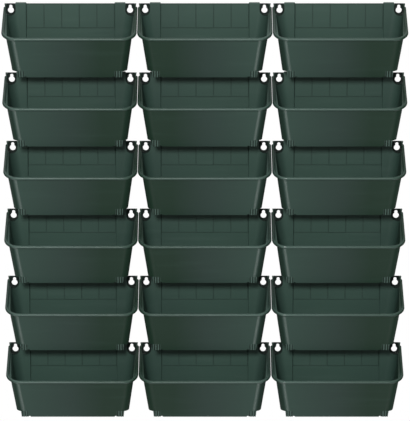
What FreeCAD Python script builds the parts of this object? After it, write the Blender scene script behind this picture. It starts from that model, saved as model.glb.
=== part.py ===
"""A wall set of moulded plastic planting pockets, hung in columns and rows on keyhole ears.

Every pocket is the same moulding: a flat back with two keyhole ears, a tapered trough with a rolled rim that
climbs to the ears, and a notched foot ring under a drained floor. The moulding is modelled once, about the
point midway between its two keyholes on the wall plane (X right, Y into the wall, Z up), and hung at each
place of the grid. The origin of the set is that point on the middle pocket of the top row.
"""

import FreeCAD, Part
import Sketcher
import math
import os

Vector = FreeCAD.Vector

COLUMNS = ("left", "centre", "right")
ROWS = 6
BAYS = 5
DRAINS = 5
FLUTES = 3
TOUCHING = 0.01

SIZES = {
    # grid: clear gaps between neighbouring pockets
    "column_gap": 1,
    "row_gap": 10,
    # overall moulding
    "wing_width": 380,
    "pocket_height": 190,
    "wall": 3,
    # keyhole ears
    "keyhole_inset": 21,
    "bulb_radius": 8.5,
    "neck_radius": 4.5,
    "keyhole_drop": 11,
    "ear_web": 3.5,
    "ear_thickness": 4,
    "recess_margin": 3.5,
    # rolled rim: a bead that climbs from the front to the ears
    "rim_reach": 168,
    "rim_drop": 68,
    "wing_drop": 10,
    "bead_radius": 4.6,
    "bead_offset": 0.7,
    "rim_bend": 38,
    # trough
    "floor_inset": 27.5,
    "front_setback": 38,
    "tub_corner": 28,
    "blend_radius": 30,
    # back: thick pads at the sides, a thin panel of bays between them
    "pad_thickness": 9,
    "pad_width": 44,
    "pad_edge": 2.5,
    "lip_height": 3,
    "lip_gap": 1,
    "lip_round": 2.5,
    "bay_drop": 70,
    "bay_gap": 2,
    "bay_proud": 1,
    "centre_proud": 3,
    "core_margin": 5,
    # foot ring and floor
    "foot_height": 18,
    "foot_inset": 13.5,
    "foot_draft": 2,
    "foot_back": 14,
    "foot_corner": 6,
    "notch_inset": 25,
    "notch_radius": 3,
    "flute_width": 4,
    "flute_pitch": 7.2,
    "flute_depth": 2,
    "drain_radius": 4,
    "drain_pitch": 50,
}

# Heights above the keyholes
TOP = "(sizes.keyhole_drop + sizes.neck_radius + sizes.ear_web)"
BASE = f"({TOP} - sizes.pocket_height)"
FLOOR = f"({BASE} + sizes.foot_height)"
RIM_BACK = f"({TOP} - sizes.wing_drop - sizes.bead_radius)"
RIM_FRONT = f"({TOP} - sizes.rim_drop - sizes.bead_radius)"
PLATE_LOW = f"({RIM_BACK} - sizes.blend_radius)"

# Distances out from the middle plane
KEYHOLE_X = "(sizes.wing_width / 2 - sizes.keyhole_inset)"
FLOOR_X = "(sizes.wing_width / 2 - sizes.floor_inset)"
PANEL_X = f"({KEYHOLE_X} - sizes.pad_width)"
RECESS_RADIUS = "(sizes.bulb_radius + sizes.recess_margin)"
LIP_X = f"({KEYHOLE_X} - {RECESS_RADIUS} - sizes.lip_gap)"
FOOT_X = f"({FLOOR_X} - sizes.foot_inset)"
NOTCH_X = f"({FOOT_X} - sizes.notch_inset)"
BAY_WIDTH = f"(2 * {PANEL_X} / {BAYS})"

# Distances out from the wall, and the slopes of the rim and the front
BEAD_REACH = "(sizes.rim_reach - sizes.bead_radius)"
RIM_TILT = f"atan((sizes.rim_drop - sizes.wing_drop) / {BEAD_REACH})"
RIM_REACH = f"({BEAD_REACH} - sizes.bead_offset)"
FLOOR_REACH = f"({RIM_REACH} - sizes.front_setback)"
FRONT_SLOPE = f"(sizes.front_setback / ({RIM_FRONT} - {FLOOR}))"
SIDE_SLOPE = f"((sizes.floor_inset - sizes.bead_radius - sizes.bead_offset) / ({RIM_BACK} - {FLOOR}))"

doc = FreeCAD.newDocument("pocket_planter")
sheet = doc.addObject("Spreadsheet::Sheet", "sizes")
for line, (alias, size) in enumerate(SIZES.items(), start=1):
    sheet.set(f"A{line}", alias)
    sheet.set(f"B{line}", str(size))
    sheet.setAlias(f"B{line}", alias)
doc.recompute()

body = doc.addObject("PartDesign::Body", "pocket_moulding")
planes = {feature.Role: feature for feature in body.Origin.OriginFeatures}


def side_at(height):
    """Half the outer width of the tapered trough at a height."""
    return f"({FLOOR_X} + {SIDE_SLOPE} * ({height} - {FLOOR}))"


def front_at(height):
    """How far the outer face of the trough's front stands from the wall at a height."""
    return f"({FLOOR_REACH} + {FRONT_SLOPE} * ({height} - {FLOOR}))"


def value(expression):
    """The number that an expression on the sheet comes to."""
    return float(sheet.evalExpression(expression))


def new_sketch(name, plane, lift="0", shift="0", tilt=None):
    """A sketch on an origin plane, lifted along its normal, shifted up it and tilted about its own x axis."""
    sketch = body.newObject("Sketcher::SketchObject", name)
    sketch.AttachmentSupport = [(planes[plane], "")]
    sketch.MapMode = "FlatFace"
    if tilt:
        turn = FreeCAD.Rotation(Vector(1, 0, 0), value(tilt))
        sketch.AttachmentOffset = FreeCAD.Placement(Vector(), turn)
        sketch.setExpression("AttachmentOffset.Rotation.Angle", tilt)
    sketch.setExpression("AttachmentOffset.Base.y", shift)
    sketch.setExpression("AttachmentOffset.Base.z", lift)
    return sketch


def bind(sketch, constraint, expression):
    """Adds a constraint whose size follows an expression."""
    index = sketch.addConstraint(constraint)
    sketch.setExpression(f"Constraints[{index}]", expression)


def hold(sketch, geometry, point, x, y):
    """Holds one point of a sketch at x, y."""
    bind(sketch, Sketcher.Constraint("DistanceX", -1, 1, geometry, point, value(x)), x)
    bind(sketch, Sketcher.Constraint("DistanceY", -1, 1, geometry, point, value(y)), y)


def set_radius(sketch, geometry, radius):
    bind(sketch, Sketcher.Constraint("Radius", geometry, value(radius)), radius)


def corner_arc(before, corner, after, radius):
    """The arc that rounds a corner: where it meets each side, its middle, and whether it turns left."""
    back = (before - corner).normalize()
    ahead = (after - corner).normalize()
    half = math.acos(back.dot(ahead)) / 2
    inward = (back + ahead).normalize()
    start = corner + back * (radius / math.tan(half))
    end = corner + ahead * (radius / math.tan(half))
    middle = corner + inward * (radius / math.sin(half) - radius)
    return start, middle, end, back.cross(ahead).z < 0


def outline(sketch, corners, closed=True):
    """Straight sides through corners (x, y, radius), each an expression; a radius of None stays sharp."""
    points = [Vector(value(x), value(y), 0) for x, y, radius in corners]
    count = len(points)
    begins = list(points)
    ends = list(points)
    arcs = {}
    for i, (x, y, radius) in enumerate(corners):
        if radius:
            around = points[i - 1], points[i], points[(i + 1) % count]
            start, middle, end, left = corner_arc(*around, value(radius))
            arcs[i] = sketch.addGeometry(Part.Arc(start, middle, end)), left
            ends[i], begins[i] = start, end
    sides = {}
    for i in range(count if closed else count - 1):
        after = (i + 1) % count
        sides[i] = sketch.addGeometry(Part.LineSegment(begins[i], ends[after]))
    for i, (x, y, radius) in enumerate(corners):
        arriving = sides.get((i - 1) % count)
        leaving = sides.get(i)
        if radius:
            arc, left = arcs[i]
            first, last = (1, 2) if left else (2, 1)
            sketch.addConstraint(Sketcher.Constraint("Tangent", arriving, 2, arc, first))
            sketch.addConstraint(Sketcher.Constraint("Tangent", arc, last, leaving, 1))
            set_radius(sketch, arc, radius)
            apex = sketch.addGeometry(Part.Point(points[i]), True)
            hold(sketch, apex, 1, x, y)
            sketch.addConstraint(Sketcher.Constraint("PointOnObject", apex, 1, arriving))
            sketch.addConstraint(Sketcher.Constraint("PointOnObject", apex, 1, leaving))
        elif leaving is None:
            hold(sketch, arriving, 2, x, y)
        else:
            hold(sketch, leaving, 1, x, y)
            if arriving is not None:
                sketch.addConstraint(Sketcher.Constraint("Coincident", arriving, 2, leaving, 1))


def rectangle(sketch, left, right, low, high):
    outline(sketch, [(left, low, None), (right, low, None), (right, high, None), (left, high, None)])


def circle(sketch, x, y, radius):
    round_edge = sketch.addGeometry(Part.Circle(Vector(value(x), value(y), 0), Vector(0, 0, 1), value(radius)))
    hold(sketch, round_edge, 3, x, y)
    set_radius(sketch, round_edge, radius)


def arch(sketch, x, end, centre, radius):
    """A straight-sided slot about x, square at one end and half round about a centre at the other."""
    middle, round_y, square_y, size = value(x), value(centre), value(end), value(radius)
    crown = round_y + math.copysign(size, round_y - square_y)
    left_square = Vector(middle - size, square_y, 0)
    right_square = Vector(middle + size, square_y, 0)
    left_round = Vector(middle - size, round_y, 0)
    right_round = Vector(middle + size, round_y, 0)
    left = sketch.addGeometry(Part.LineSegment(left_square, left_round))
    right = sketch.addGeometry(Part.LineSegment(right_round, right_square))
    flat = sketch.addGeometry(Part.LineSegment(right_square, left_square))
    bow = sketch.addGeometry(Part.Arc(left_round, Vector(middle, crown, 0), right_round))
    at_left, at_right = (2, 1) if crown > round_y else (1, 2)
    sketch.addConstraint(Sketcher.Constraint("Tangent", left, 2, bow, at_left))
    sketch.addConstraint(Sketcher.Constraint("Tangent", right, 1, bow, at_right))
    sketch.addConstraint(Sketcher.Constraint("Coincident", right, 2, flat, 1))
    sketch.addConstraint(Sketcher.Constraint("Coincident", flat, 2, left, 1))
    sketch.addConstraint(Sketcher.Constraint("Horizontal", flat))
    sketch.addConstraint(Sketcher.Constraint("Vertical", left))
    hold(sketch, bow, 3, x, centre)
    set_radius(sketch, bow, radius)
    bind(sketch, Sketcher.Constraint("DistanceY", -1, 1, flat, 1, square_y), end)


def pad(name, sketch, length, against=False):
    """Thickens a sketch along its normal, or against it."""
    feature = body.newObject("PartDesign::Pad", name)
    feature.Profile = sketch
    feature.setExpression("Length", length)
    feature.Reversed = against
    doc.recompute()


def pocket(name, sketch, length, along=False, both=False):
    """Cuts a sketch away against its normal, along it, or to both sides; it has to take something off."""
    before = body.Shape.Volume
    feature = body.newObject("PartDesign::Pocket", name)
    feature.Profile = sketch
    feature.setExpression("Length", length)
    feature.Reversed = along
    feature.Midplane = both
    doc.recompute()
    if not body.Shape.Volume < before:
        raise RuntimeError(f"{name} cuts nothing")


def fillet(name, edges, radius):
    base = body.Tip
    feature = body.newObject("PartDesign::Fillet", name)
    feature.Base = (base, edges)
    feature.setExpression("Radius", radius)
    doc.recompute()


def upright_edges(test):
    """Names of the body's edges that climb, and whose ends both pass a test."""
    found = []
    for i, edge in enumerate(body.Shape.Edges, start=1):
        ends = [vertex.Point for vertex in edge.Vertexes]
        if len(ends) == 2 and not near(ends[0].z, ends[1].z) and all(test(end) for end in ends):
            found.append(f"Edge{i}")
    return found


def near(a, b):
    return abs(a - b) < TOUCHING


def cut_front(name):
    """Cuts away all that stands in front of the sloping front face."""
    ahead = f"-({front_at(TOP)} + sizes.rim_reach)"
    sketch = new_sketch(f"{name}_line", "YZ_Plane")
    outline(sketch, [
        (f"-{front_at(BASE)}", BASE, None),
        (f"-{front_at(TOP)}", TOP, None),
        (ahead, TOP, None),
        (ahead, BASE, None),
    ])
    pocket(name, sketch, "2 * sizes.wing_width", both=True)


def make_tub():
    """The tapered trough with an even wall, open at the top, as high as the ears."""
    block = new_sketch("tub_outline", "XZ_Plane")
    outline(block, [
        (f"-{FLOOR_X}", FLOOR, None),
        (FLOOR_X, FLOOR, None),
        (side_at(TOP), TOP, None),
        (f"-{side_at(TOP)}", TOP, None),
    ])
    pad("tub_block", block, f"{front_at(TOP)} + sizes.wall")
    cut_front("tub_front")
    fillet("tub_corners", upright_edges(lambda p: not near(p.y, 0)), "sizes.tub_corner")
    base = body.Tip
    top = value(TOP)
    faces = enumerate(base.Shape.Faces, start=1)
    mouth = [f"Face{i}" for i, face in faces if all(near(v.Z, top) for v in face.Vertexes)]
    shell = body.newObject("PartDesign::Thickness", "tub_wall")
    shell.Base = (base, mouth)
    shell.setExpression("Value", "sizes.wall")
    shell.Reversed = True
    doc.recompute()


def make_back():
    """The thick back plate, blended into the sides of the trough."""
    plate = new_sketch("plate_outline", "XZ_Plane")
    outline(plate, [
        (f"-({FLOOR_X} - sizes.wall / 2)", FLOOR, None),
        (f"({FLOOR_X} - sizes.wall / 2)", FLOOR, None),
        (f"({side_at(TOP)} - sizes.wall / 2)", TOP, None),
        (f"-({side_at(TOP)} - sizes.wall / 2)", TOP, None),
    ])
    pad("plate", plate, "sizes.pad_thickness")
    face = -value("sizes.pad_thickness")
    fillet("blends", upright_edges(lambda p: near(p.y, face)), "sizes.blend_radius")


def cut_rim():
    """Cuts the trough down along the climbing line of the rim, in front of the back."""
    behind = "-sizes.pad_thickness"
    ahead = f"-({front_at(TOP)} + sizes.rim_reach)"
    fall = f"tan({RIM_TILT})"
    cut = new_sketch("rim_line", "YZ_Plane")
    outline(cut, [
        (behind, f"{RIM_BACK} + {behind} * {fall}", None),
        (ahead, f"{RIM_BACK} + {ahead} * {fall}", None),
        (ahead, f"{TOP} + sizes.wall", None),
        (behind, f"{TOP} + sizes.wall", None),
    ])
    pocket("rim_cut", cut, "2 * sizes.wing_width", both=True)


def make_panel():
    """Lips on the top edge of the side pads, and the thin panel between the pads."""
    lip_top = f"({TOP} + sizes.lip_height)"
    lips = new_sketch("lip_outlines", "XZ_Plane")
    for sign in ("", "-"):
        outline(lips, [
            (f"{sign}{PANEL_X}", f"{TOP} - sizes.lip_height", None),
            (f"{sign}{LIP_X}", f"{TOP} - sizes.lip_height", None),
            (f"{sign}{LIP_X}", lip_top, "sizes.lip_round"),
            (f"{sign}{PANEL_X}", lip_top, "sizes.lip_round"),
        ])
    pad("lips", lips, "sizes.pad_thickness")
    panel = new_sketch("panel_outline", "XZ_Plane", lift="sizes.wall")
    rectangle(panel, f"-{PANEL_X}", PANEL_X, f"{FLOOR} + sizes.wall", f"{lip_top} + sizes.lip_height")
    pocket("panel", panel, "sizes.pad_thickness", along=True)


def make_foot():
    """The foot ring under the floor, its front flush with the trough's, open below."""
    block = new_sketch("foot_outline", "XZ_Plane", lift="sizes.foot_back")
    low_x = f"({FOOT_X} - sizes.foot_draft)"
    outline(block, [
        (f"-{low_x}", BASE, None),
        (low_x, BASE, None),
        (FOOT_X, f"{FLOOR} + sizes.wall / 2", None),
        (f"-{FOOT_X}", f"{FLOOR} + sizes.wall / 2", None),
    ])
    pad("foot_block", block, f"{FLOOR_REACH} - sizes.foot_back + sizes.wall")
    cut_front("foot_front")
    floor = value(FLOOR)
    fillet("foot_corners", upright_edges(lambda p: p.z < floor + TOUCHING), "sizes.foot_corner")
    ring = new_sketch("ring_outline", "YZ_Plane")
    outline(ring, [
        ("-(sizes.foot_back + sizes.wall)", BASE, None),
        (f"-({front_at(BASE)} - sizes.wall)", BASE, None),
        (f"-({FLOOR_REACH} - sizes.wall)", FLOOR, None),
        ("-(sizes.foot_back + sizes.wall)", FLOOR, None),
    ])
    pocket("ring", ring, f"2 * ({low_x} - sizes.wall)", both=True)


def make_bays():
    """Shallow raised bays across the upper panel, the middle one prouder."""
    low = f"{TOP} - sizes.bay_drop"
    half = f"(({BAY_WIDTH} - sizes.bay_gap) / 2)"
    middle = (BAYS - 1) // 2
    outer = new_sketch("bay_outlines", "XZ_Plane", lift="sizes.wall")
    for step in range(-middle, middle + 1):
        if step:
            centre = f"{step} * {BAY_WIDTH}"
            rectangle(outer, f"{centre} - {half}", f"{centre} + {half}", low, TOP)
    pad("bays", outer, "sizes.bay_proud")
    inner = new_sketch("middle_bay_outline", "XZ_Plane", lift="sizes.wall")
    rectangle(inner, f"-{half}", half, low, TOP)
    pad("middle_bay", inner, "sizes.centre_proud")


def make_keyholes():
    """A recess about each keyhole, thinning the ear, and the keyhole through it."""
    recess = new_sketch("recess_outlines", "XZ_Plane", lift="sizes.ear_thickness")
    bulbs = new_sketch("bulb_outlines", "XZ_Plane")
    necks = new_sketch("neck_outlines", "XZ_Plane")
    for x in (KEYHOLE_X, f"-{KEYHOLE_X}"):
        arch(recess, x, f"{TOP} + sizes.ear_web", "0", RECESS_RADIUS)
        circle(bulbs, x, "0", "sizes.bulb_radius")
        arch(necks, x, "0", "sizes.keyhole_drop", "sizes.neck_radius")
    pocket("recesses", recess, "sizes.pad_thickness + sizes.blend_radius", along=True)
    pocket("bulbs", bulbs, "sizes.pad_thickness", along=True)
    pocket("necks", necks, "sizes.pad_thickness", along=True)


def core_pads():
    """Hollows behind the side pads, which keep the moulding's walls even."""
    inner = f"({PANEL_X} + sizes.core_margin)"
    low = f"({FLOOR} + sizes.wall + sizes.core_margin)"
    cores = new_sketch("core_outlines", "XZ_Plane")
    for sign in ("", "-"):
        outline(cores, [
            (f"{sign}{inner}", low, None),
            (f"{sign}({side_at(low)} - sizes.core_margin)", low, None),
            (f"{sign}({side_at(PLATE_LOW)} - sizes.core_margin)", PLATE_LOW, None),
            (f"{sign}{inner}", PLATE_LOW, None),
        ])
    pocket("cores", cores, "sizes.pad_thickness - sizes.wall", along=True)


def finish_foot():
    """Drip notches and corner flutes in the foot ring, and drain holes in the floor."""
    notches = new_sketch("notch_outlines", "XZ_Plane")
    for x in (NOTCH_X, f"-{NOTCH_X}"):
        circle(notches, x, BASE, "sizes.notch_radius")
    pocket("notches", notches, "sizes.rim_reach", along=True)

    lean = f"atan({FRONT_SLOPE})"
    flutes = new_sketch("flute_outlines", "XZ_Plane", lift=FLOOR_REACH, shift=FLOOR, tilt=lean)
    for sign in ("", "-"):
        for step in range(FLUTES):
            outer = f"({FOOT_X} - sizes.foot_corner / 2 - {step} * sizes.flute_pitch)"
            inner = f"({outer} - sizes.flute_width)"
            rectangle(flutes, f"{sign}{inner}", f"{sign}{outer}", "-2 * sizes.foot_height", "0")
    pocket("flutes", flutes, "sizes.flute_depth")

    middle = f"-(sizes.foot_back + {FLOOR_REACH}) / 2"
    drains = new_sketch("drain_outlines", "XY_Plane", lift=FLOOR)
    for step in range(DRAINS):
        circle(drains, f"({step} - ({DRAINS} - 1) / 2) * sizes.drain_pitch", middle, "sizes.drain_radius")
    pocket("drains", drains, "2 * sizes.wall", along=True)


def soften_pads():
    """Rounds the long upright edges where the side pads step down to the panel."""
    face = -value("sizes.pad_thickness")
    step = value(PANEL_X)
    fillet("pad_edges", upright_edges(lambda p: near(p.y, face) and near(abs(p.x), step)), "sizes.pad_edge")


def make_rim():
    """The rolled bead along the rim, swept from ear to ear, and the webs that carry it at the sides."""
    bead_x = "(sizes.wing_width / 2 - sizes.bead_radius)"
    reach = f"({BEAD_REACH} / cos({RIM_TILT}))"

    # the webs close the wedge between the straight bead and the tapering sides
    start = "(-sizes.pad_thickness / 2)"
    start_x = f"({side_at(f'({RIM_BACK} + {start} * sin({RIM_TILT}))')} - sizes.wall / 2)"
    wall_x = f"({side_at(RIM_FRONT)} - sizes.wall / 2)"
    wall_reach = f"(({RIM_REACH} - sizes.wall / 2) / cos({RIM_TILT}))"
    end_x = "(sizes.wing_width / 4)"
    webs = new_sketch("web_outlines", "XY_Plane", lift=RIM_BACK, tilt=RIM_TILT)
    for sign in ("", "-"):
        outline(webs, [
            (f"{sign}{bead_x}", start, None),
            (f"{sign}{bead_x}", f"-{reach}", "sizes.rim_bend"),
            (f"{sign}{end_x}", f"-{reach}", None),
            (f"{sign}{end_x}", f"-{wall_reach}", None),
            (f"{sign}{wall_x}", f"-{wall_reach}", "(sizes.tub_corner - sizes.wall / 2)"),
            (f"{sign}{start_x}", start, None),
        ])
    pad("webs", webs, "sizes.wall", against=True)

    back = "(2 * sizes.bead_radius)"
    path = new_sketch("rim_path", "XY_Plane", lift=RIM_BACK, tilt=RIM_TILT)
    outline(path, [
        (f"-{bead_x}", back, None),
        (f"-{bead_x}", f"-{reach}", "sizes.rim_bend"),
        (bead_x, f"-{reach}", "sizes.rim_bend"),
        (bead_x, back, None),
    ], closed=False)
    section = new_sketch("rim_section", "YZ_Plane")
    circle(section, f"-{BEAD_REACH}", RIM_FRONT, "sizes.bead_radius")
    bead = body.newObject("PartDesign::AdditivePipe", "rim_bead")
    bead.Profile = section
    bead.Spine = (path, [])
    doc.recompute()

    behind = new_sketch("wall_side", "XZ_Plane")
    rectangle(behind, "-sizes.wing_width", "sizes.wing_width", BASE, f"{TOP} + sizes.wing_drop")
    pocket("wall_trim", behind, "4 * sizes.bead_radius")


def hang(name, across, down):
    """One pocket of the set, hung a number of columns across and rows down from the origin."""
    pocket_body = doc.addObject("PartDesign::Body", name)
    pocket_body.Label = name
    copy = pocket_body.newObject("PartDesign::FeatureBase", f"{name}_moulding")
    copy.BaseFeature = body
    pocket_body.Tip = copy
    column_pitch = "(sizes.wing_width + sizes.column_gap)"
    row_pitch = "(sizes.pocket_height + sizes.row_gap)"
    pocket_body.setExpression("Placement.Base.x", f"{across} * {column_pitch}")
    pocket_body.setExpression("Placement.Base.z", f"-{down} * {row_pitch}")
    return pocket_body


make_tub()
make_back()
cut_rim()
make_panel()
make_bays()
make_keyholes()
core_pads()
make_foot()
finish_foot()
soften_pads()
make_rim()

pockets = []
for row in range(ROWS):
    for column, side in enumerate(COLUMNS):
        pockets.append(hang(f"pocket_row{row + 1}_{side}", column - len(COLUMNS) // 2, row))
doc.recompute()

for item in doc.Objects:
    if {"Invalid", "Error"} & set(item.State):
        raise RuntimeError(f"{item.Label} failed: {item.State}")
for item in pockets:
    if item.Shape.isNull() or not item.Shape.isValid() or len(item.Shape.Solids) != 1:
        raise RuntimeError(f"{item.Label} is not one sound solid")

os.makedirs("parts", exist_ok=True)
for item in pockets:
    item.Shape.exportStep(os.path.join("parts", f"{item.Label}.step"))
print(f"{len(pockets)} pockets of {pockets[0].Shape.Volume / 1000:.0f} cm3")
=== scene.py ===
import math

import bpy
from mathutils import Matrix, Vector


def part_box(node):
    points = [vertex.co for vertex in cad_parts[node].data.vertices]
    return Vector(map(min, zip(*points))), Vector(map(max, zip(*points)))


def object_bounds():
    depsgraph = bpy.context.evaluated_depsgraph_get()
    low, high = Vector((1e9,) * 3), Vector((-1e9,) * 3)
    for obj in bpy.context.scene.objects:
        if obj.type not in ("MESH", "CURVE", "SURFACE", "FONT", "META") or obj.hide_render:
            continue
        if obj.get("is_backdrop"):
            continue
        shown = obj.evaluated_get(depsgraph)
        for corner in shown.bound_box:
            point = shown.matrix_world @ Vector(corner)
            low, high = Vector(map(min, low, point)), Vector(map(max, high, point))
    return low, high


bl_info = {
    "name": "Pocket Planter",
    "version": (1, 0, 0),
    "blender": (4, 5, 0),
    "location": "3D View > Sidebar > Planter",
    "description": "Finishes a wall set of moulded planting pockets and lights it in a pale studio",
    "category": "Object",
}

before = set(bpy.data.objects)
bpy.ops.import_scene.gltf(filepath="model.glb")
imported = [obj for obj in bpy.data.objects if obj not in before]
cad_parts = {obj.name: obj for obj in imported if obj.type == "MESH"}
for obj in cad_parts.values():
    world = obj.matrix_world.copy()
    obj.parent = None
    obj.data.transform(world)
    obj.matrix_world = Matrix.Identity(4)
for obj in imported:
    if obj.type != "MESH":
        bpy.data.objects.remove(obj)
CAD_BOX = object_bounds()

# Lengths are in metres. A pocket's heights are from its keyholes, its places across are from its
# middle and its places out are along Y from the wall. A pair of limits says where a mask starts and
# where it is full.

# The photograph's frame in pixels, and the camera's sensor in millimetres
PHOTO_WIDTH = 410
PHOTO_HEIGHT = 421
SENSOR = 36.0

# Columns of the set, and the side from which each is painted lit, the middle one mirrored
LIT_SIDE_OF_COLUMN = {"left": 1.0, "centre": -1.0, "right": 1.0}

# Noises: their lumps to a metre and their detail
TONE_CLOUDS = (9.0, 3.0)
WALL_WAVES = (14.0, 1.0)
GLOSS_CLOUDS = (22.0, 4.0)
WEAR_PATCHES = (30.0, 3.0)
GRAIN_DETAIL = 2.0
SCUFF_DETAIL = 5.0

# Painted shade tone, from 0 on a pocket's painted lit side to 1 on its shaded side: where the
# middle colour lies, and what a side turned from the light adds as painted shade
MIDWAY = 0.66
DARK_TONE = 0.8

# Painted shade on the panel: in its middle, darker towards both sides, towards the shaded side, and
# low down
PANEL_MIDDLE = -0.06
PANEL_SIDES = 0.50
PANEL_ALONG = 0.30
PANEL_SUNK = 0.06
SUNK_HEIGHTS = (-0.030, -0.085)

# Painted shade on the front towards its shaded side, and the share of the depth from which it holds
FRONT_ALONG = 1.45
FRONT_FROM = 0.75

# Painted shade on sides turned from the light: how far a flank is turned outward and an inner wall
# inward, where the inner wall near the lit side is dark and how much, and the wings' outer edges,
# as shares of the pitch, and out
FLANK_TURN = (0.26, 0.56)
INNER_TURN = (-0.05, -0.60)
INNER_ALONG = (0.1, -0.1)
INNER_MOST = 0.50
WING_ACROSS = (0.462, 0.480)
WING_OUT = (-0.155, -0.130)

# The glossy front corner, painted paler as a highlight: how far its bend is turned at either end,
# and where towards the lit side
BEND_START = (0.02, 0.12)
BEND_END = (0.42, 0.20)
CORNER_ALONG = (-0.28, -0.40)

# Edges, painted pale partly as wear and partly as highlight: the rays that round them, the cosine
# between rounded and true surface where they are painted, how patchy the paint is, and the noise
# that makes a patch
EDGE_SAMPLES = 6
WORN_COSINE = (0.995, 0.86)
PATCHINESS = 0.5
PATCH_NOISE = (0.35, 0.65)

# Scuffs: their lumps to a metre, how they are squeezed along each axis, and the noise that makes
# one
SCUFF_SCALE = 40.0
SCUFF_SQUEEZE = (0.12, 1.0, 1.4)
SCUFF_NOISE = (0.52, 0.74)

# Keyholes: their spacing, the drop from one end to the other, and the reach and place out of the
# painted shade in the sunk margin
KEYHOLE_SPACING = 0.338
KEYHOLE_DROP = 0.011
MARGIN_INNER = 0.0126
MARGIN_OUTER = 0.0148
MARGIN_OUT = (-0.034, -0.026)

# Bays of the panel, with painted shade in their grooves: the pitch of their grooves, their outer
# edge, foot and top, half a groove's width and how far it fades, the painted dark line below their
# top, and the panel's face
BAY_PITCH = 0.050
BAY_EDGE = 0.126
BAY_FOOT = -0.051
BAY_TOP = 0.019
GROOVE_HALF = 0.0010
GROOVE_FADE = 0.0026
TOP_LINE = (0.005, 0.002)
PANEL_OUT = (-0.010, -0.008)

# Ribs on the foot ring's front corners, with a painted highlight and painted shade in the flutes:
# the first one's place, their pitch, a rib's edge from its middle and where the ribs end; then the
# ring's middle height, its edge from there and its front
RIB_FIRST = 0.1332
RIB_PITCH = 0.0072
RIB_EDGE = (0.00208, 0.00128)
RIB_INNER = 0.1270
RIB_OUTER = 0.1485
FOOT_MIDDLE = -0.162
FOOT_EDGE = (0.012, 0.009)
FOOT_OUT = (-0.08, -0.10)

# The rolled rim, with a painted highlight: its height at the wall, its fall on the way out, half
# its thickness and how many halves it fades over; where it leaves the wall, where its front is, and
# how much of the painted highlight its arms keep
RIM_AT_WALL = 0.0044
RIM_FALL = 0.355
RIM_HALF = 0.0046
RIM_FADE = 1.4
RIM_OFF_WALL = (-0.012, -0.022)
RIM_FRONT = (-0.110, -0.152)
RIM_ARMS = 0.12

# Roughness: how far it clouds, and what scuffs, dull places and the rim add to it
CLOUDING = 0.3
SCUFF_ROUGHNESS = 0.06
DULL_ROUGHNESS = 0.4
RIM_ROUGHNESS = -0.1

# The key light's place and width
KEY_PLACE = (-0.9, -9.7, 3.13)
KEY_WIDTH = 1.4

# Distant lights: how wide each looks, its azimuth right of the camera and its elevation, in
# degrees; then how far off they are drawn
TOP_LIGHT = (40, -10, 58)
BACK_LIGHT = (30, 170, 25)
LOW_LIGHTS = {"low_light_left": (22, -32, -53), "low_light_right": (22, 32, -53)}
LIGHT_DISTANCE = 3.0

# Half the floor's side, how white the floor and the room look, and the rise of the room's light,
# from below to level
FLOOR_HALF = 4.0
FLOOR_WHITE = 0.85
ROOM_WHITE = 1.0
ROOM_RISE = (-0.35, 0.15)


def pocket_nodes():
    """Every pocket of the frame with the column that it hangs in."""
    for name, node in sorted(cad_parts.items()):
        yield name, node, name.rsplit("_", 1)[1]


def column_pitch():
    """The distance between neighbouring columns, from the frame's own boxes."""
    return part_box("pocket_row1_centre")[0].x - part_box("pocket_row1_left")[0].x


def row_pitch():
    """The distance between neighbouring rows, from the frame's own boxes."""
    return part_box("pocket_row1_centre")[0].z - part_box("pocket_row2_centre")[0].z


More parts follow.
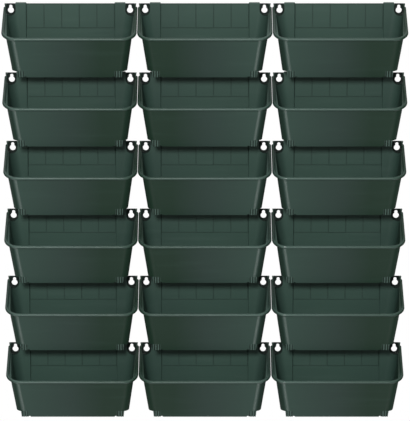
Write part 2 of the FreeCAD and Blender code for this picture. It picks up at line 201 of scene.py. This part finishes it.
class PlasticFinish(bpy.types.PropertyGroup):
    """The moulded plastic of the pockets, with light and shade painted into its colour."""

    # The lit, midway and shaded colours paint light and shade across each pocket
    lit_colour: bpy.props.FloatVectorProperty(
        name="Lit colour",
        description="Colour painted on the lit side of a pocket",
        subtype="COLOR", size=4, min=0, max=1, default=(0.0355, 0.0714, 0.0560, 1.0))
    mid_colour: bpy.props.FloatVectorProperty(
        name="Colour midway", description="Colour painted midway from the lit side to the shaded side",
        subtype="COLOR", size=4, min=0, max=1, default=(0.0214, 0.0435, 0.0350, 1.0))
    shaded_colour: bpy.props.FloatVectorProperty(
        name="Shaded colour", description="Colour painted on the shaded side of a pocket",
        subtype="COLOR", size=4, min=0, max=1, default=(0.0076, 0.0272, 0.0148, 1.0))
    mottle: bpy.props.FloatProperty(
        name="Mottle", description="How much the tone clouds",
        subtype="FACTOR", min=0, max=1, default=0.10)
    grain: bpy.props.FloatProperty(
        name="Grain", description="Size of the mould's satin grain",
        subtype="DISTANCE", unit="LENGTH", min=0.0002, max=0.01, default=0.0012)
    grain_depth: bpy.props.FloatProperty(
        name="Grain depth", description="Height of the grain",
        subtype="DISTANCE", unit="LENGTH", min=0, max=0.001, default=0.00004)
    wave_depth: bpy.props.FloatProperty(
        name="Wave depth", description="Height of the slight waves of the thin walls",
        subtype="DISTANCE", unit="LENGTH", min=0, max=0.002, default=0.0002)
    smoothest: bpy.props.FloatProperty(
        name="Smoothest", description="Roughness where the mould was polished",
        subtype="FACTOR", min=0, max=1, default=0.28)
    roughest: bpy.props.FloatProperty(
        name="Roughest", description="Roughness where the mould was grained",
        subtype="FACTOR", min=0, max=1, default=0.43)
    edge_radius: bpy.props.FloatProperty(
        name="Edge rounding", description="Radius of the small moulded edges",
        subtype="DISTANCE", unit="LENGTH", min=0, max=0.005, default=0.0009)
    # Also the colour of painted highlights on the rim, the foot ribs and the front corner
    worn_and_highlight_colour: bpy.props.FloatVectorProperty(
        name="Worn and highlight colour", description="Colour of rubbed edges and scuffs, and of painted highlights",
        subtype="COLOR", size=4, min=0, max=1, default=(0.075, 0.125, 0.105, 1.0))
    # A painted highlight along the rolled rim
    rim_highlight: bpy.props.FloatProperty(
        name="Rim highlight", description="How far the rolled rim is painted towards the pale colour, as a highlight",
        subtype="FACTOR", min=0, max=1, default=0.5)
    # Edges painted pale, partly as wear and partly as painted highlight
    wear: bpy.props.FloatProperty(
        name="Wear", description="How far edges go to the pale colour, as wear and as painted highlight",
        subtype="FACTOR", min=0, max=1, default=0.5)
    wear_width: bpy.props.FloatProperty(
        name="Wear width", description="How far the wear reaches from an edge",
        subtype="DISTANCE", unit="LENGTH", min=0, max=0.01, default=0.0018)
    scuffing: bpy.props.FloatProperty(
        name="Scuffing", description="How far scuffs go to the worn colour",
        subtype="FACTOR", min=0, max=1, default=0.08)
    # The colour of all painted shade
    painted_shade_colour: bpy.props.FloatVectorProperty(
        name="Shade colour", description="Colour of the painted shade in grooves, flutes and round a keyhole",
        subtype="COLOR", size=4, min=0, max=1, default=(0.004, 0.009, 0.007, 1.0))
    # Painted shade in the sunk margin round each keyhole
    keyhole_shade: bpy.props.FloatProperty(
        name="Keyhole shade", description="How dark the painted shade in the sunk margin round a keyhole is",
        subtype="FACTOR", min=0, max=1, default=0.92)
    # Painted shade in the flutes between the foot ribs
    flute_shade: bpy.props.FloatProperty(
        name="Flute shade", description="How dark the painted shade in the flutes between the foot ribs is",
        subtype="FACTOR", min=0, max=1, default=0.55)
    # Painted shade in the grooves between the bays and below their top
    groove_shade: bpy.props.FloatProperty(
        name="Groove shade", description="How dark the painted shade in the grooves between the bays is",
        subtype="FACTOR", min=0, max=1, default=0.28)
    # A painted highlight on the glossy front corner
    corner_highlight: bpy.props.FloatProperty(
        name="Corner highlight",
        description="How far the glossy front corner is painted towards the pale colour, as a highlight",
        subtype="FACTOR", min=0, max=1, default=0.35)
    corner_gloss: bpy.props.FloatProperty(
        name="Corner gloss", description="How much of a gloss the polished front corner has",
        subtype="FACTOR", min=0, max=1, default=0.45)
    specular: bpy.props.FloatProperty(
        name="Gloss", description="Strength of the plastic's reflection",
        subtype="FACTOR", min=0, max=1, default=0.20)


class StudioSetup(bpy.types.PropertyGroup):
    """Camera, lamps and floor."""

    elevation: bpy.props.FloatProperty(
        name="Elevation", description="How far the camera looks down",
        subtype="ANGLE", unit="ROTATION", default=math.radians(14.0))
    distance: bpy.props.FloatProperty(
        name="Distance", description="From the camera to the point it aims at",
        subtype="DISTANCE", unit="LENGTH", default=10.0)
    focal_pixels: bpy.props.FloatProperty(
        name="Focal length", description="Focal length in pixels of the photograph",
        default=3503.0)
    aim: bpy.props.FloatVectorProperty(
        name="Aim", description="The point in the middle of the picture",
        subtype="XYZ", unit="LENGTH", size=3, default=(0.0006, -0.08, -0.567))
    floor_drop: bpy.props.FloatProperty(
        name="Floor drop", description="From the lowest pocket down to the floor",
        subtype="DISTANCE", unit="LENGTH", default=2.2)
    floor_colour: bpy.props.FloatVectorProperty(
        name="Floor colour", description="Pale floor",
        subtype="COLOR", size=4, min=0, max=1, default=(0.25, 0.25, 0.25, 1.0))
    sky: bpy.props.FloatProperty(
        name="Room light", description="Strength of the even light from all round",
        min=0, default=0.34)
    ground: bpy.props.FloatProperty(
        name="Ground light", description="Strength of the even light from below",
        min=0, default=0.04)
    key: bpy.props.FloatProperty(
        name="Key light", description="Power of the soft box above the camera",
        unit="POWER", min=0, default=805.0)
    top: bpy.props.FloatProperty(
        name="Top light", description="Strength of the soft light from above",
        min=0, default=0.08)
    back: bpy.props.FloatProperty(
        name="Back light", description="Strength of the soft light from behind",
        min=0, default=1.0)
    low: bpy.props.FloatProperty(
        name="Low light", description="Strength of each of the two soft lights from low in front",
        min=0, default=0.22)


def add_node(tree, kind, **settings):
    """A new node with its settings."""
    node = tree.nodes.new(kind)
    for name, setting in settings.items():
        setattr(node, name, setting)
    return node


def feed(tree, socket, value):
    """Links a socket to an input, or sets a plain number on it."""
    if isinstance(value, bpy.types.NodeSocket):
        tree.links.new(value, socket)
    elif value is not None:
        socket.default_value = value


def calc(tree, operation, first, second=None, third=None):
    """A math node on sockets or plain numbers; returns its output."""
    node = add_node(tree, "ShaderNodeMath", operation=operation)
    for socket, value in zip(node.inputs, (first, second, third)):
        feed(tree, socket, value)
    return node.outputs[0]


def ramp(tree, value, start, end, low=0.0, high=1.0, smooth=True):
    """A value taken from one range to another, clamped at both ends; returns the output."""
    kind = "SMOOTHSTEP" if smooth else "LINEAR"
    node = add_node(tree, "ShaderNodeMapRange", interpolation_type=kind)
    labels = ("Value", "From Min", "From Max", "To Min", "To Max")
    for label, number in zip(labels, (value, start, end, low, high)):
        feed(tree, node.inputs[label], number)
    return node.outputs[0]


def noise(tree, place, scale, detail):
    """Soft noise at a place; returns its value."""
    node = add_node(tree, "ShaderNodeTexNoise")
    feed(tree, node.inputs["Vector"], place)
    feed(tree, node.inputs["Scale"], scale)
    feed(tree, node.inputs["Detail"], detail)
    return node.outputs[0]


def object_place(tree):
    """The place on the part, which stays with a pocket when it is lifted."""
    return add_node(tree, "ShaderNodeTexCoord").outputs["Object"]


def split_axes(tree, place):
    """The three values of a place or a direction, by axis."""
    node = add_node(tree, "ShaderNodeSeparateXYZ")
    tree.links.new(place, node.inputs[0])
    return node.outputs


def new_group(name, inputs, outputs):
    """An empty shader node group with named float sockets; returns it with its two end nodes."""
    group = bpy.data.node_groups.new(name, "ShaderNodeTree")
    for label, default in inputs.items():
        socket = group.interface.new_socket(label, in_out="INPUT", socket_type="NodeSocketFloat")
        socket.default_value = default
    for label in outputs:
        group.interface.new_socket(label, in_out="OUTPUT", socket_type="NodeSocketFloat")
    return group, add_node(group, "NodeGroupInput"), add_node(group, "NodeGroupOutput")


def pitches():
    """The inputs of a group that repeats from pocket to pocket."""
    return {"Column Pitch": column_pitch(), "Row Pitch": row_pitch()}


def from_nearest(tree, value, pitch):
    """How far a value is from the nearest whole number of pitches."""
    count = calc(tree, "ROUND", calc(tree, "DIVIDE", value, pitch))
    return calc(tree, "SUBTRACT", value, calc(tree, "MULTIPLY", count, pitch))


def from_middle(tree, axes, given):
    """How far a place is from the middle of its pocket, to either side."""
    return calc(tree, "ABSOLUTE", from_nearest(tree, axes["X"], given.outputs["Column Pitch"]))


def painted_shade_tone_group():
    """Painted shade tone across a pocket, pale on its lit side and dark on the sides turned from
    the light, and its glossy front corner.
    """
    group, given, made = new_group(
        "painted_shade_tone", {**pitches(), "Direction": 1.0, "Depth": -CAD_BOX[0].y, "Mottle": 0.0},
        ["Run", "Polish", "Flank"])
    pitch = given.outputs["Column Pitch"]
    place = object_place(group)
    axes = split_axes(group, place)
    across = calc(group, "DIVIDE", from_nearest(group, axes["X"], pitch), pitch)
    toward_shade = calc(group, "MULTIPLY", across, given.outputs["Direction"])

    front_from = calc(group, "MULTIPLY", given.outputs["Depth"], -FRONT_FROM)
    outward = ramp(group, axes["Y"], 0.0, front_from)
    up = from_nearest(group, axes["Z"], given.outputs["Row Pitch"])
    # Painted shade on the panel: darker low down, towards both sides and towards the shaded side
    low = ramp(group, up, *SUNK_HEIGHTS)
    sunk = calc(group, "MULTIPLY", low, calc(group, "SUBTRACT", 1.0, outward))
    along = calc(group, "MULTIPLY_ADD", toward_shade, PANEL_ALONG, PANEL_MIDDLE)
    panel = calc(group, "MULTIPLY_ADD", calc(group, "ABSOLUTE", toward_shade), PANEL_SIDES, along)
    near_wall = calc(group, "MULTIPLY_ADD", sunk, PANEL_SUNK, panel)
    # Painted shade on the front: darker than the panel, and darker towards the shaded side
    at_front = calc(group, "MULTIPLY_ADD", toward_shade, FRONT_ALONG, MIDWAY)
    change = calc(group, "SUBTRACT", at_front, near_wall)
    slope = calc(group, "MULTIPLY_ADD", change, outward, near_wall)
    cloud = calc(group, "SUBTRACT", noise(group, place, *TONE_CLOUDS), 0.5)
    clouded = calc(group, "MULTIPLY_ADD", cloud, given.outputs["Mottle"], slope)

    # Painted shade on sides turned from the light: flanks, the wings' outer edges, and inner walls
    # near the lit side
    facing = split_axes(group, add_node(group, "ShaderNodeTexCoord").outputs["Normal"])["X"]
    turned = calc(group, "MULTIPLY", facing, calc(group, "SIGN", across))
    flank = ramp(group, turned, *FLANK_TURN)
    edge = ramp(group, calc(group, "ABSOLUTE", across), *WING_ACROSS)
    wing = calc(group, "MULTIPLY", edge, ramp(group, axes["Y"], *WING_OUT))
    near_lit_side = ramp(group, toward_shade, *INNER_ALONG, 0.0, INNER_MOST)
    inner = calc(group, "MULTIPLY", ramp(group, turned, *INNER_TURN), near_lit_side)
    dark = calc(group, "MAXIMUM", calc(group, "MAXIMUM", flank, wing), inner)
    group.links.new(calc(group, "MULTIPLY_ADD", dark, DARK_TONE, clouded), made.inputs["Run"])
    group.links.new(flank, made.inputs["Flank"])

    # The glossy front corner near the lit side, which gets a painted highlight as well as its gloss
    bend = calc(group, "MULTIPLY", ramp(group, turned, *BEND_START), ramp(group, turned, *BEND_END))
    corner = calc(group, "MULTIPLY", ramp(group, toward_shade, *CORNER_ALONG), outward)
    group.links.new(calc(group, "MULTIPLY", corner, bend), made.inputs["Polish"])
    return group


def satin_grain_group():
    """The mould's grain and the slight waves of a thin wall as heights, and clouds of gloss."""
    group, given, made = new_group(
        "satin_grain", {"Grain": 1.0, "Grain Depth": 0.0, "Wave Depth": 0.0}, ["Height", "Cloud"])
    place = object_place(group)
    grains = calc(group, "DIVIDE", 1.0, given.outputs["Grain"])
    fine = noise(group, place, grains, GRAIN_DETAIL)
    waved = calc(group, "MULTIPLY", noise(group, place, *WALL_WAVES), given.outputs["Wave Depth"])
    height = calc(group, "MULTIPLY_ADD", fine, given.outputs["Grain Depth"], waved)
    group.links.new(height, made.inputs["Height"])
    group.links.new(noise(group, place, *GLOSS_CLOUDS), made.inputs["Cloud"])
    return group


def edge_wear_and_highlight_group():
    """Edges and rims painted pale, unevenly, partly as wear and partly as highlight."""
    group, given, made = new_group("edge_wear_and_highlight", {"Radius": 0.0, "Patchiness": PATCHINESS}, ["Edge"])
    rounded = add_node(group, "ShaderNodeBevel", samples=EDGE_SAMPLES)
    group.links.new(given.outputs["Radius"], rounded.inputs["Radius"])
    true = add_node(group, "ShaderNodeNewGeometry")
    cosine = add_node(group, "ShaderNodeVectorMath", operation="DOT_PRODUCT")
    group.links.new(rounded.outputs[0], cosine.inputs[0])
    group.links.new(true.outputs["Normal"], cosine.inputs[1])
    edge = ramp(group, cosine.outputs["Value"], *WORN_COSINE)
    patch = ramp(group, noise(group, object_place(group), *WEAR_PATCHES), *PATCH_NOISE)
    spared = calc(group, "SUBTRACT", patch, 1.0)
    kept = calc(group, "MULTIPLY_ADD", spared, given.outputs["Patchiness"], 1.0)
    group.links.new(calc(group, "MULTIPLY", edge, kept), made.inputs["Edge"])
    return group


def scuff_group():
    """Faint rubbed streaks along a pocket."""
    group, given, made = new_group("scuffs", {"Scale": SCUFF_SCALE}, ["Scuff"])
    squeeze = add_node(group, "ShaderNodeMapping")
    squeeze.inputs["Scale"].default_value = SCUFF_SQUEEZE
    group.links.new(object_place(group), squeeze.inputs["Vector"])
    streak = noise(group, squeeze.outputs[0], given.outputs["Scale"], SCUFF_DETAIL)
    group.links.new(ramp(group, streak, *SCUFF_NOISE), made.inputs["Scuff"])
    return group


def keyhole_shade_group():
    """Painted shade in the sunk margin round each keyhole."""
    group, given, made = new_group(
        "keyhole_shade",
        {**pitches(), "Spacing": KEYHOLE_SPACING, "Drop": KEYHOLE_DROP,
         "Inner": MARGIN_INNER, "Outer": MARGIN_OUTER},
        ["Shade"])
    axes = split_axes(group, object_place(group))
    half = calc(group, "MULTIPLY", given.outputs["Spacing"], 0.5)
    aside = calc(group, "SUBTRACT", from_middle(group, axes, given), half)
    up = from_nearest(group, axes["Z"], given.outputs["Row Pitch"])
    on_slot = calc(group, "MINIMUM", calc(group, "MAXIMUM", up, 0.0), given.outputs["Drop"])
    beyond = calc(group, "SUBTRACT", up, on_slot)
    square = calc(group, "MULTIPLY_ADD", aside, aside, calc(group, "MULTIPLY", beyond, beyond))
    reach = calc(group, "SQRT", square)
    ring = ramp(group, reach, given.outputs["Outer"], given.outputs["Inner"])
    at_wall = ramp(group, axes["Y"], *MARGIN_OUT)
    group.links.new(calc(group, "MULTIPLY", ring, at_wall), made.inputs["Shade"])
    return group


def groove_painted_shade_group():
    """Painted shade in the narrow grooves between the panel's bays, along their foot and below
    their top.
    """
    group, given, made = new_group(
        "groove_painted_shade", {**pitches(), "Half": GROOVE_HALF, "Fade": GROOVE_FADE}, ["Dust"])
    axes = split_axes(group, object_place(group))
    half, fade = given.outputs["Half"], given.outputs["Fade"]
    across = from_middle(group, axes, given)
    from_groove = from_nearest(group, calc(group, "ADD", across, BAY_PITCH / 2), BAY_PITCH)
    up = from_nearest(group, axes["Z"], given.outputs["Row Pitch"])
    upright = calc(group, "MULTIPLY", ramp(group, calc(group, "ABSOLUTE", from_groove), fade, half),
                   calc(group, "GREATER_THAN", up, BAY_FOOT))
    from_foot = calc(group, "ABSOLUTE", calc(group, "SUBTRACT", up, BAY_FOOT))
    below_top = calc(group, "SUBTRACT", BAY_TOP, up)
    level = calc(group, "MAXIMUM", ramp(group, from_foot, fade, half),
                 ramp(group, below_top, *TOP_LINE))
    lines = calc(group, "MAXIMUM", upright, level)
    on_panel = calc(group, "MULTIPLY", calc(group, "LESS_THAN", across, BAY_EDGE),
                    ramp(group, axes["Y"], *PANEL_OUT))
    group.links.new(calc(group, "MULTIPLY", lines, on_panel), made.inputs["Dust"])
    return group


def foot_rib_light_and_shade_group():
    """The ribs at the corners of the foot ring, with a painted highlight, and the flutes between
    them, with painted shade.
    """
    group, given, made = new_group("foot_rib_light_and_shade", pitches(), ["Rib", "Flute"])
    axes = split_axes(group, object_place(group))
    across = from_middle(group, axes, given)
    up = calc(group, "SUBTRACT", axes["Z"], FOOT_MIDDLE)
    off_ring = calc(group, "ABSOLUTE", from_nearest(group, up, given.outputs["Row Pitch"]))
    front = calc(group, "MULTIPLY", ramp(group, off_ring, *FOOT_EDGE),
                 ramp(group, axes["Y"], *FOOT_OUT))
    inside = calc(group, "MULTIPLY", calc(group, "GREATER_THAN", across, RIB_INNER),
                  calc(group, "LESS_THAN", across, RIB_OUTER))
    corner = calc(group, "MULTIPLY", front, inside)
    from_rib = from_nearest(group, calc(group, "SUBTRACT", across, RIB_FIRST), RIB_PITCH)
    rib = ramp(group, calc(group, "ABSOLUTE", from_rib), *RIB_EDGE)
    group.links.new(calc(group, "MULTIPLY", corner, rib), made.inputs["Rib"])
    flute = calc(group, "SUBTRACT", 1.0, rib)
    group.links.new(calc(group, "MULTIPLY", corner, flute), made.inputs["Flute"])
    return group


def rim_highlight_group():
    """The rolled rim, smoother and with a painted highlight, strongest at its front."""
    group, given, made = new_group(
        "rim_highlight",
        {"Row Pitch": row_pitch(), "Height": RIM_AT_WALL, "Fall": RIM_FALL, "Half": RIM_HALF},
        ["Rub"])
    axes = split_axes(group, object_place(group))
    up = from_nearest(group, axes["Z"], given.outputs["Row Pitch"])
    line = calc(group, "MULTIPLY_ADD", axes["Y"], given.outputs["Fall"], given.outputs["Height"])
    away = calc(group, "ABSOLUTE", calc(group, "SUBTRACT", up, line))
    faded = calc(group, "MULTIPLY", given.outputs["Half"], RIM_FADE)
    on_rim = ramp(group, away, faded, given.outputs["Half"])
    forward = ramp(group, axes["Y"], *RIM_FRONT, RIM_ARMS, 1.0)
    off_wall = calc(group, "MULTIPLY", ramp(group, axes["Y"], *RIM_OFF_WALL), forward)
    group.links.new(calc(group, "MULTIPLY", on_rim, off_wall), made.inputs["Rub"])
    return group


def use_group(tree, group, **values):
    """A group in a material, with the inputs that differ from its own; returns its outputs."""
    node = add_node(tree, "ShaderNodeGroup", node_tree=group)
    for label, value in values.items():
        node.inputs[label.replace("_", " ")].default_value = value
    return node.outputs


def dye(tree, share, first, second):
    """A colour between two, by a share; returns the output."""
    node = add_node(tree, "ShaderNodeMix", data_type="RGBA", clamp_factor=True)
    feed(tree, node.inputs["Factor"], share)
    feed(tree, node.inputs["A"], first)
    feed(tree, node.inputs["B"], second)
    return node.outputs["Result"]


def moulded_plastic(name, finish, direction, groups):
    """Dark satin plastic, with light and shade painted into its colour, darker away from its lit
    side.
    """
    material = bpy.data.materials.new(name)
    material.use_nodes = True
    tree = material.node_tree
    tree.nodes.clear()
    out = add_node(tree, "ShaderNodeOutputMaterial")
    skin = add_node(tree, "ShaderNodeBsdfPrincipled")
    tree.links.new(skin.outputs[0], out.inputs["Surface"])
    skin.inputs["Specular IOR Level"].default_value = finish.specular

    tone = use_group(tree, groups["tone"], Direction=direction, Mottle=finish.mottle)
    toward_shade, polish, flank = tone["Run"], tone["Polish"], tone["Flank"]
    grain = use_group(tree, groups["grain"], Grain=finish.grain, Grain_Depth=finish.grain_depth,
                      Wave_Depth=finish.wave_depth)
    edge = use_group(tree, groups["wear"], Radius=finish.wear_width)["Edge"]
    scuff = use_group(tree, groups["scuffs"])["Scuff"]
    shade = use_group(tree, groups["keyhole"])["Shade"]
    rim = use_group(tree, groups["rim"])["Rub"]
    groove_shade_mask = use_group(tree, groups["grooves"])["Dust"]
    foot = use_group(tree, groups["ribs"])

    # The body runs from the lit colour to the shaded colour: painted light and shade
    to_midway = ramp(tree, toward_shade, 0.0, MIDWAY, smooth=False)
    early = dye(tree, to_midway, finish.lit_colour, finish.mid_colour)
    body = dye(tree, ramp(tree, toward_shade, MIDWAY, 1.0, smooth=False), early, finish.shaded_colour)
    # Painted highlights on the rolled rim, the foot ribs and the front corner, in the pale colour
    rim_highlight_share = calc(tree, "MULTIPLY", rim, calc(tree, "SUBTRACT", 1.0, flank))
    # The foot ribs are painted pale as a highlight
    rolled = calc(tree, "MAXIMUM", calc(tree, "MULTIPLY", rim_highlight_share, finish.rim_highlight), foot["Rib"])
    # The front corner near the lit side is painted paler as a highlight
    painted_highlights = calc(tree, "MAXIMUM", rolled, calc(tree, "MULTIPLY", polish, finish.corner_highlight))
    plain = dye(tree, painted_highlights, body, finish.worn_and_highlight_colour)
    scuffs = calc(tree, "MULTIPLY", scuff, finish.scuffing)
    # Edges painted pale, partly as wear and partly as highlight; scuffs are wear
    worn = dye(tree, calc(tree, "MULTIPLY_ADD", edge, finish.wear, scuffs), plain,
               finish.worn_and_highlight_colour)
    # Painted shade in the grooves and in the flutes between the foot ribs
    crease_shade = calc(tree, "MAXIMUM", calc(tree, "MULTIPLY", groove_shade_mask, finish.groove_shade),
                 calc(tree, "MULTIPLY", foot["Flute"], finish.flute_shade))
    # Painted shade in the sunk margin round each keyhole
    shaded = calc(tree, "MAXIMUM", calc(tree, "MULTIPLY", shade, finish.keyhole_shade), crease_shade)
    tree.links.new(dye(tree, shaded, worn, finish.painted_shade_colour), skin.inputs["Base Color"])

    cloudy = calc(tree, "MULTIPLY_ADD", grain["Cloud"], CLOUDING, -CLOUDING / 2)
    smooth = calc(tree, "ADD", polish, cloudy)
    satin = ramp(tree, smooth, 0.0, 1.0, finish.roughest, finish.smoothest, smooth=False)
    scuffed = calc(tree, "MULTIPLY_ADD", scuff, SCUFF_ROUGHNESS, satin)
    dull = calc(tree, "MULTIPLY_ADD", calc(tree, "MAXIMUM", flank, shade), DULL_ROUGHNESS, scuffed)
    tree.links.new(calc(tree, "MULTIPLY_ADD", rim, RIM_ROUGHNESS, dull), skin.inputs["Roughness"])

    tree.links.new(calc(tree, "MULTIPLY", polish, finish.corner_gloss), skin.inputs["Coat Weight"])
    skin.inputs["Coat Roughness"].default_value = finish.smoothest

    soft_edge = add_node(tree, "ShaderNodeBevel", samples=EDGE_SAMPLES)
    soft_edge.inputs["Radius"].default_value = finish.edge_radius
    bump = add_node(tree, "ShaderNodeBump")
    bump.inputs["Distance"].default_value = 1.0
    tree.links.new(grain["Height"], bump.inputs["Height"])
    tree.links.new(soft_edge.outputs[0], bump.inputs["Normal"])
    tree.links.new(bump.outputs[0], skin.inputs["Normal"])
    return material


class PLANTER_OT_finish_pockets(bpy.types.Operator):
    """Gives every pocket its moulded plastic"""

    bl_idname = "planter.finish_pockets"
    bl_label = "Finish Pockets"

    def execute(self, context):
        finish = context.scene.planter_plastic
        groups = {"tone": painted_shade_tone_group(), "grain": satin_grain_group(),
                  "wear": edge_wear_and_highlight_group(), "scuffs": scuff_group(),
                  "keyhole": keyhole_shade_group(), "rim": rim_highlight_group(),
                  "grooves": groove_painted_shade_group(), "ribs": foot_rib_light_and_shade_group()}
        plastics = {}
        for side, direction in LIT_SIDE_OF_COLUMN.items():
            if direction not in plastics:
                plastics[direction] = moulded_plastic(
                    f"plastic_from_{side}_mould", finish, direction, groups)
        for name, node, side in pocket_nodes():
            if not node.material_slots:
                raise RuntimeError(f"{name} has no material slot")
            for slot in node.material_slots:
                slot.material = plastics[LIT_SIDE_OF_COLUMN[side]]
        return {"FINISHED"}


def around(target, azimuth, elevation, distance):
    """The point off a target at an azimuth right of the camera and an elevation, in degrees."""
    turn, rise = math.radians(azimuth), math.radians(elevation)
    level = math.cos(rise)
    way = Vector((math.sin(turn) * level, -math.cos(turn) * level, math.sin(rise)))
    return target + way * distance


def add_to_scene(name, data, place, target):
    """A lamp or camera at a place, turned to a target."""
    item = bpy.data.objects.new(name, data)
    bpy.context.scene.collection.objects.link(item)
    item.location = place
    item.rotation_euler = (target - item.location).to_track_quat("-Z", "Y").to_euler()
    return item


def soft_light(name, strength, softness, azimuth, elevation):
    """A distant soft light, with its softness, azimuth and elevation in degrees."""
    light = bpy.data.lights.new(name, "SUN")
    light.energy = strength
    light.angle = math.radians(softness)
    # Light from below comes through the floor, so only rays that look for the lamp carry it
    light.cycles.use_multiple_importance_sampling = False
    place = around(Vector(), azimuth, elevation, LIGHT_DISTANCE)
    return add_to_scene(name, light, place, Vector())


def soft_box(name, power, width, place, target):
    """A round soft box at a place, turned to a target."""
    light = bpy.data.lights.new(name, "AREA")
    light.shape = "DISK"
    light.size = width
    light.energy = power
    add_to_scene(name, light, place, target).visible_camera = False


def shown_as_white(tree, shader, rest, share):
    """Mixes in plain white for rays that look straight, by reflection or through glass."""
    path = add_node(tree, "ShaderNodeLightPath")
    clear = calc(tree, "MAXIMUM", path.outputs["Is Camera Ray"],
                 path.outputs["Is Transmission Ray"])
    seen = calc(tree, "MAXIMUM", clear, path.outputs["Is Glossy Ray"])
    white = add_node(tree, shader)
    white.inputs["Color"].default_value = (1, 1, 1, 1)
    white.inputs["Strength"].default_value = 1.0
    mix = add_node(tree, "ShaderNodeMixShader")
    tree.links.new(calc(tree, "MULTIPLY", seen, share), mix.inputs[0])
    tree.links.new(rest.outputs[0], mix.inputs[1])
    tree.links.new(white.outputs[0], mix.inputs[2])
    return mix


def make_floor(studio, height):
    """A pale floor, which lets the light from below through."""
    mesh = bpy.data.meshes.new("floor")
    corners = [(FLOOR_HALF * x, FLOOR_HALF * y, height)
               for x, y in ((-1, -1), (1, -1), (1, 1), (-1, 1))]
    mesh.from_pydata(corners, [], [(0, 1, 2, 3)])
    floor = bpy.data.objects.new("floor", mesh)
    bpy.context.scene.collection.objects.link(floor)
    floor.visible_shadow = False
    floor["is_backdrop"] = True
    material = bpy.data.materials.new("pale_floor")
    material.use_nodes = True
    tree = material.node_tree
    tree.nodes.clear()
    out = add_node(tree, "ShaderNodeOutputMaterial")
    paint = add_node(tree, "ShaderNodeBsdfDiffuse")
    paint.inputs["Color"].default_value = studio.floor_colour
    mix = shown_as_white(tree, "ShaderNodeEmission", paint, FLOOR_WHITE)
    tree.links.new(mix.outputs[0], out.inputs["Surface"])
    mesh.materials.append(material)


def make_room(studio):
    """An even pale room, whose light is weaker from below."""
    world = bpy.data.worlds.new("pale_room")
    bpy.context.scene.world = world
    world.use_nodes = True
    tree = world.node_tree
    tree.nodes.clear()
    out = add_node(tree, "ShaderNodeOutputWorld")
    room = add_node(tree, "ShaderNodeBackground")
    room.inputs["Color"].default_value = (1, 1, 1, 1)
    way = add_node(tree, "ShaderNodeTexCoord")
    height = split_axes(tree, way.outputs["Generated"])["Z"]
    strength = ramp(tree, height, *ROOM_RISE, studio.ground, studio.sky)
    tree.links.new(strength, room.inputs["Strength"])
    mix = shown_as_white(tree, "ShaderNodeBackground", room, ROOM_WHITE)
    tree.links.new(mix.outputs[0], out.inputs["Surface"])


def make_camera(studio):
    """The camera of the photograph."""
    data = bpy.data.cameras.new("photo_camera")
    data.sensor_width = SENSOR
    data.lens = studio.focal_pixels * SENSOR / max(PHOTO_WIDTH, PHOTO_HEIGHT)
    target = Vector(studio.aim)
    place = around(target, 0.0, math.degrees(studio.elevation), studio.distance)
    bpy.context.scene.camera = add_to_scene("photo_camera", data, place, target)


class PLANTER_OT_set_stage(bpy.types.Operator):
    """Sets the pale floor and room, the soft lamps and the camera"""

    bl_idname = "planter.set_stage"
    bl_label = "Set Stage"

    def execute(self, context):
        studio = context.scene.planter_studio
        make_floor(studio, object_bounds()[0].z - studio.floor_drop)
        make_room(studio)
        soft_box("key_light", studio.key, KEY_WIDTH, KEY_PLACE, Vector(studio.aim))
        soft_light("top_light", studio.top, *TOP_LIGHT)
        soft_light("back_light", studio.back, *BACK_LIGHT).visible_glossy = False
        for name, setting in LOW_LIGHTS.items():
            soft_light(name, studio.low, *setting).visible_diffuse = False
        make_camera(studio)
        context.scene.view_settings.view_transform = "Standard"
        return {"FINISHED"}


class PLANTER_PT_sidebar(bpy.types.Panel):
    """Every step with its settings"""

    bl_idname = "PLANTER_PT_sidebar"
    bl_label = "Pocket Planter"
    bl_space_type = "VIEW_3D"
    bl_region_type = "UI"
    bl_category = "Planter"

    def draw(self, context):
        for operator, settings in STEPS:
            self.layout.operator(operator.bl_idname)
            group = getattr(context.scene, settings)
            for name in group.__annotations__:
                self.layout.prop(group, name)


STEPS = (
    (PLANTER_OT_finish_pockets, "planter_plastic"),
    (PLANTER_OT_set_stage, "planter_studio"),
)
CLASSES = (PlasticFinish, StudioSetup, PLANTER_OT_finish_pockets, PLANTER_OT_set_stage,
           PLANTER_PT_sidebar)


def register():
    for item in CLASSES:
        bpy.utils.register_class(item)
    bpy.types.Scene.planter_plastic = bpy.props.PointerProperty(type=PlasticFinish)
    bpy.types.Scene.planter_studio = bpy.props.PointerProperty(type=StudioSetup)


def unregister():
    del bpy.types.Scene.planter_studio
    del bpy.types.Scene.planter_plastic
    for item in reversed(CLASSES):
        bpy.utils.unregister_class(item)


def main():
    register()
    bpy.ops.planter.finish_pockets()
    bpy.ops.planter.set_stage()


if __name__ == "__main__":
    main()
